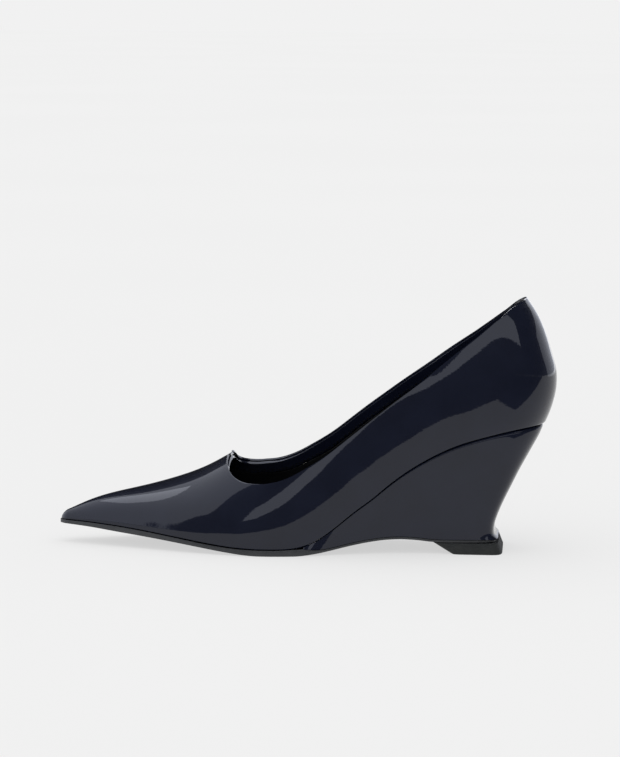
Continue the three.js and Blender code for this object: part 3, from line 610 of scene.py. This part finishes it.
def cushion(name, first, final, inset):
    """A crowned foam pad on the insole board, thin at its rounded edge."""
    roundness, least_width = 2.6, 0.12            # of the pad's plan

    def point(u, w, top):
        s = first + (final - first) * u
        plan = max(least_width, (1 - abs(2 * u - 1) ** roundness) ** (1 / roundness))
        ends = [last(s, 0, side, inset) for side in (-1, 1)]
        mid = (ends[0] + ends[1]) / 2
        t = across(w)
        p = mid + (ends[1] - ends[0]) * (t - 0.5) * plan
        crown = max(PAD_GAP, pad_rise(s) * (1 - abs(2 * t - 1) ** 4))
        base = feather(min(mid.x - skew(s) * mid.y, SEAT))
        p.z = base + BOARD_TOP + PAD_GAP + (crown if top else 0)
        return p

    return closed_plate(name, 60, 24, lambda u, w: point(u, w, True), lambda u, w: point(u, w, False))


for name, first, final, inset, replaced in (("forefoot_cushion", 51, 126, 6.5, "forefoot_pad"),
                                            ("heel_cushion", 172, 233, 9.0, "heel_pad")):
    pad = cushion(name, first, final, inset)
    add(pad, "foam_pad", foam, replaced)


# ------------------------------------------------------------------ outsole
def sole_top(s):
    """Height of the sole's upper face, which thins out under the wedge."""
    front = feather(s) - SOLE_GAP
    if s < WEDGE_TIP:
        return max(sole_bottom(s) + 0.5, min(front, sole_bottom(s) + SOLE_THICK))
    extra = sole_top(WEDGE_TIP - 1e-3) - sole_bottom(WEDGE_TIP) - SOLE_UNDER_WEDGE
    thinning = max(0, 1 - (s - WEDGE_TIP) / 14) ** 2
    return min(front, sole_bottom(s) + SOLE_UNDER_WEDGE + extra * thinning)


def foot_half(x, side):
    """Half width of the wedge's foot."""
    return foot_out(x) if side < 0 else foot_in(x)


def sole_edge(share, side):
    """Station, x and y of the outsole's edge, share 0 at the toe to 1 at the back."""
    square, tip = 0.88, 0.12
    if share < square:
        t = share / square
        s = SOLE_SQUARE * (t if t > tip else t * t / tip)
        p = last(s, 0, side, -0.2)
        if s <= LEAVES_LAST:
            return s, p.x, p.y
        k = ease((s - LEAVES_LAST) / 12)
        w = foot_half(s, side) - SOLE_GAP
        return s, s + (p.x - s) * (1 - k), side * (abs(p.y) * (1 - k) + w * k)
    t = math.sin((share - square) / (1 - square) * math.pi / 2)
    x = SOLE_SQUARE + (WEDGE_END - 1 - SOLE_SQUARE) * t
    w = foot_half(x, side) - SOLE_GAP
    return x, x, side * w * (1 - t ** FOOT_CORNER) ** (1 / FOOT_CORNER)


def outsole():
    def point(u, w, height):
        s, x_out, y_out = sole_edge(u, -1)
        _, x_in, y_in = sole_edge(u, 1)
        t = across(w)
        return Vector((x_out + (x_in - x_out) * t, y_out + (y_in - y_out) * t, height(s)))

    return closed_plate("leather_outsole", 130, 18, lambda u, w: point(u, w, sole_top),
                        lambda u, w: point(u, w, sole_bottom))


sole = outsole()
finish_with(sole, 0, 0.35, 2)
add(sole, "sole_leather", edge_paint, "outsole")


# ------------------------------------------------------------------ wedge
def wedge_point(s, v, side, inset):
    """Point on the wedge, v from 0 at its foot to 1 under the upper."""
    u = max(0.0, min(1.0, (s - CLOSE) / (SEAT - CLOSE)))
    top = last(s, 0, side, 0.6 + inset)
    foot_x = WEDGE_TIP + (s - WEDGE_TIP) * (WEDGE_END - WEDGE_TIP) / (SEAT - WEDGE_TIP) - inset * u
    foot_y = foot_half(foot_x, side) - inset
    square = (1 - u ** FOOT_CORNER) ** (1 / FOOT_CORNER)
    full = (1 - u ** HEEL_ROUND) ** (1 / HEEL_ROUND)
    z_top = feather(min(top.x - skew(s) * top.y, SEAT)) - SOLE_GAP
    z_foot = sole_top(max(foot_x, WEDGE_TIP)) + SOLE_GAP
    form = square * (1 - v) ** 0.5 + (1 - (1 - v) ** 0.5) * full
    top_y = abs(top.y) / max(1e-6, full)
    if 0 < u < 1:
        y = side * (foot_y + (top_y - foot_y) * v) * form
    else:
        y = 0.0 if u >= 1 else side * (foot_y + (abs(top.y) - foot_y) * v)
    x = foot_x + (top.x - foot_x) * v - wedge_hollow(v) * ease(u * 1.15)
    return Vector((x, y, z_foot + (z_top - z_foot) * v))


def wedge_skin():
    bm = bmesh.new()
    straight = 0.6                                # share of the columns ahead of the heel's rounding
    turn_in, turn_share = 1.5, 0.035              # rolled edge under the upper
    start = WEDGE_TIP + 0.3
    for side in (-1, 1):
        def point(u, w):
            if u < straight:
                s = start + (CLOSE - start) * (u / straight)
            else:
                s = heel_turn((u - straight) / (1 - straight))
            v = across(w)
            rolled = 1 - min(1, (1 - v) / turn_share)
            return wedge_point(s, v, side, turn_in * (1 - math.sqrt(max(0, 1 - rolled ** 2))))
        mapped_grid(bm, 170, 72, point)
    return finish_mesh(bm, "wedge_skin")


wedge = wedge_skin()
finish_with(wedge, WEDGE_LEATHER, 0.2, 3)
add(wedge, "patent_leather", wedge_patent, "wedge_cover")


# ------------------------------------------------------------------ toplift
def toplift_block():
    bm = bmesh.new()
    # Front, back, half width and height of each ring.
    rings = ((198, LIFT_BACK, 21.93, 0.0), (197, LIFT_BACK, 22.15, 0.6), (188.6, 221.1, 21.18, TOP_OF_LIFT))
    front_corner = 0.12                           # a nearly square front
    start = bmesh.ops.create_circle(bm, segments=96, radius=1.0, cap_ends=False)["verts"]
    loops = [start]
    for _ in rings[1:]:
        edges = [e for e in bm.edges if e.verts[0] in loops[-1] and e.verts[1] in loops[-1]]
        made = bmesh.ops.extrude_edge_only(bm, edges=edges)["geom"]
        loops.append([g for g in made if isinstance(g, bmesh.types.BMVert)])
    for loop, (x0, x1, half, z) in zip(loops, rings):
        for v in loop:
            angle = math.atan2(v.co.y, v.co.x)
            c, sn = math.cos(angle), math.sin(angle)
            t = 0.5 + 0.5 * math.copysign(abs(c) ** (2 / FOOT_CORNER), c)
            y = math.copysign(abs(sn) ** (2 / FOOT_CORNER), sn)
            if c < 0:
                y = math.copysign(min(1.0, abs(sn) ** front_corner), sn)
            v.co = placed(Vector((x0 + (x1 - x0) * t, half * y, z)))
    for loop in (loops[0], loops[-1]):
        edges = [e for e in bm.edges if e.verts[0] in loop and e.verts[1] in loop]
        bmesh.ops.edgeloop_fill(bm, edges=edges)
    return finish_mesh(bm, "rubber_toplift", merge=1e-6)


lift = toplift_block()
finish_with(lift, 0, 0.3, 2)
add(lift, "toplift_rubber", tread_rubber, "toplift")

# ------------------------------------------------------------------ floor, light, camera
scene = bpy.context.scene
scene.view_settings.view_transform = "Standard"


def flat_panel(name, x, y, z):
    bm = bmesh.new()
    made = bmesh.ops.create_grid(bm, x_segments=1, y_segments=1, size=0.5)
    for v in made["verts"]:
        v.co = Vector((x[0] + (x[1] - x[0]) * (v.co.x + 0.5), y[0] + (y[1] - y[0]) * (v.co.y + 0.5), z))
    panel = finish_mesh(bm, name, merge=0)
    return panel


floor = flat_panel("studio_floor", (-15, 15), (-15, 15), 0)
paper, tree, b = shader("pale_light_table", (0.3, 0.3, 0.3), 0.9, Specular_IOR_Level=0.0,
                        Emission_Strength=1.0, Emission_Color=(0.58, 0.58, 0.58, 1))
shade = tint(tree, noise(tree, 1.5, 1).outputs["Fac"], (0.282, 0.282, 0.282), (0.288, 0.288, 0.288))
tree.links.new(shade.outputs["Color"], b.inputs["Base Color"])
floor.data.materials.append(paper)

# Black cards lie in front, where only the gloss sees them, and end the floor's reflection.
card_cloth, _, _ = shader("black_card", (0.012, 0.012, 0.014), 1.0, Specular_IOR_Level=0.0)
for name, x, y in (("card_front", (-9, 0.24), (-15, -0.44)), ("card_heel_side", (0.24, 9), (-15, -0.16))):
    card = flat_panel(name, x, y, 0.001)
    card.data.materials.append(card_cloth)
    card.visible_camera = card.visible_diffuse = card.visible_shadow = False

world = bpy.data.worlds.new("studio")
scene.world = world
world.use_nodes = True
wt = world.node_tree
back = wt.nodes["Background"]
back.inputs["Color"].default_value = (0.02, 0.02, 0.024, 1)
pale = node(wt, "ShaderNodeBackground", Color=(0.88, 0.88, 0.88, 1))
path, mix = wt.nodes.new("ShaderNodeLightPath"), wt.nodes.new("ShaderNodeMixShader")
wt.links.new(path.outputs["Is Glossy Ray"], mix.inputs["Fac"])
wt.links.new(pale.outputs["Background"], mix.inputs[1])
wt.links.new(back.outputs["Background"], mix.inputs[2])
wt.links.new(mix.outputs["Shader"], wt.nodes["World Output"].inputs["Surface"])


def lamp_object(name, light, place, aim):
    lamp = bpy.data.objects.new(name, light)
    scene.collection.objects.link(lamp)
    lamp.location = place
    lamp.rotation_euler = (Vector(aim) - Vector(place)).to_track_quat("-Z", "Y").to_euler()
    lamp.visible_camera = False
    return lamp


def softbox(name, place, aim, size, glow, color=(0.94, 0.98, 1.10)):
    """A softbox of even brightness, glow, that only the gloss sees."""
    light = bpy.data.lights.new(name, "AREA")
    light.shape, light.size, light.size_y = "RECTANGLE", size[0], size[1]
    light.energy, light.color = glow * math.pi * size[0] * size[1], color
    lamp = lamp_object(name, light, place, aim)
    lamp.visible_diffuse = False
    return lamp


sky = bpy.data.lights.new("soft_sky", "SUN")
sky.energy, sky.angle = 0.5, math.radians(60)
lamp_object("soft_sky", sky, (0, 0, 3), (0, 0.25, 0)).visible_glossy = False

softbox("overhead", (0.0, 0.1, 1.9), (0, 0, 0), (2.6, 1.8), 2.0)
softbox("toe_side", (-1.6, 0.35, 1.8), (0, 0.35, 1.8), (3.5, 3.6), 1.1)
FRONT_AZIMUTH, FRONT_REACH = math.radians(16), 2.2
softbox("front", (FRONT_REACH * math.sin(FRONT_AZIMUTH), -FRONT_REACH * math.cos(FRONT_AZIMUTH), 0.90),
        (0, 0, 0.90), (3.5, 0.60), 1.35)
softbox("heel_side", (1.2, 1.6, 0.35), (0.12, 0, 0.35), (3.2, 0.7), 0.8)

# The camera stands above the heel's top with a long lens, and tips up to leave air over the shoe.
AZIMUTH, ELEVATION, ROLL = math.radians(4.06), math.radians(7.61), math.radians(-0.36)
TURN_RIGHT, TURN_UP = math.radians(0.05), math.radians(0.81)
CAMERA_REACH = 1.706
aim_point = Vector((0, 0, 0.060))
look = Vector((-math.sin(AZIMUTH) * math.cos(ELEVATION), math.cos(AZIMUTH) * math.cos(ELEVATION),
               -math.sin(ELEVATION)))
eye = aim_point - look * CAMERA_REACH
right = Vector((math.cos(AZIMUTH), math.sin(AZIMUTH), 0))
up = right.cross(look)
right, up = right * math.cos(ROLL) - up * math.sin(ROLL), right * math.sin(ROLL) + up * math.cos(ROLL)
look = (look + right * math.tan(TURN_RIGHT) + up * math.tan(TURN_UP)).normalized()
right = (right - look * right.dot(look)).normalized()
up = right.cross(look)
cam = bpy.data.cameras.new("camera")
cam.sensor_fit, cam.sensor_width, cam.lens, cam.clip_end = "HORIZONTAL", 36.0, 197.5, 60.0
camera = bpy.data.objects.new("camera", cam)
scene.collection.objects.link(camera)
camera.matrix_world = Matrix((
    (right.x, up.x, -look.x, eye.x), (right.y, up.y, -look.y, eye.y),
    (right.z, up.z, -look.z, eye.z), (0, 0, 0, 1)))
scene.camera = camera

bpy.context.view_layer.update()
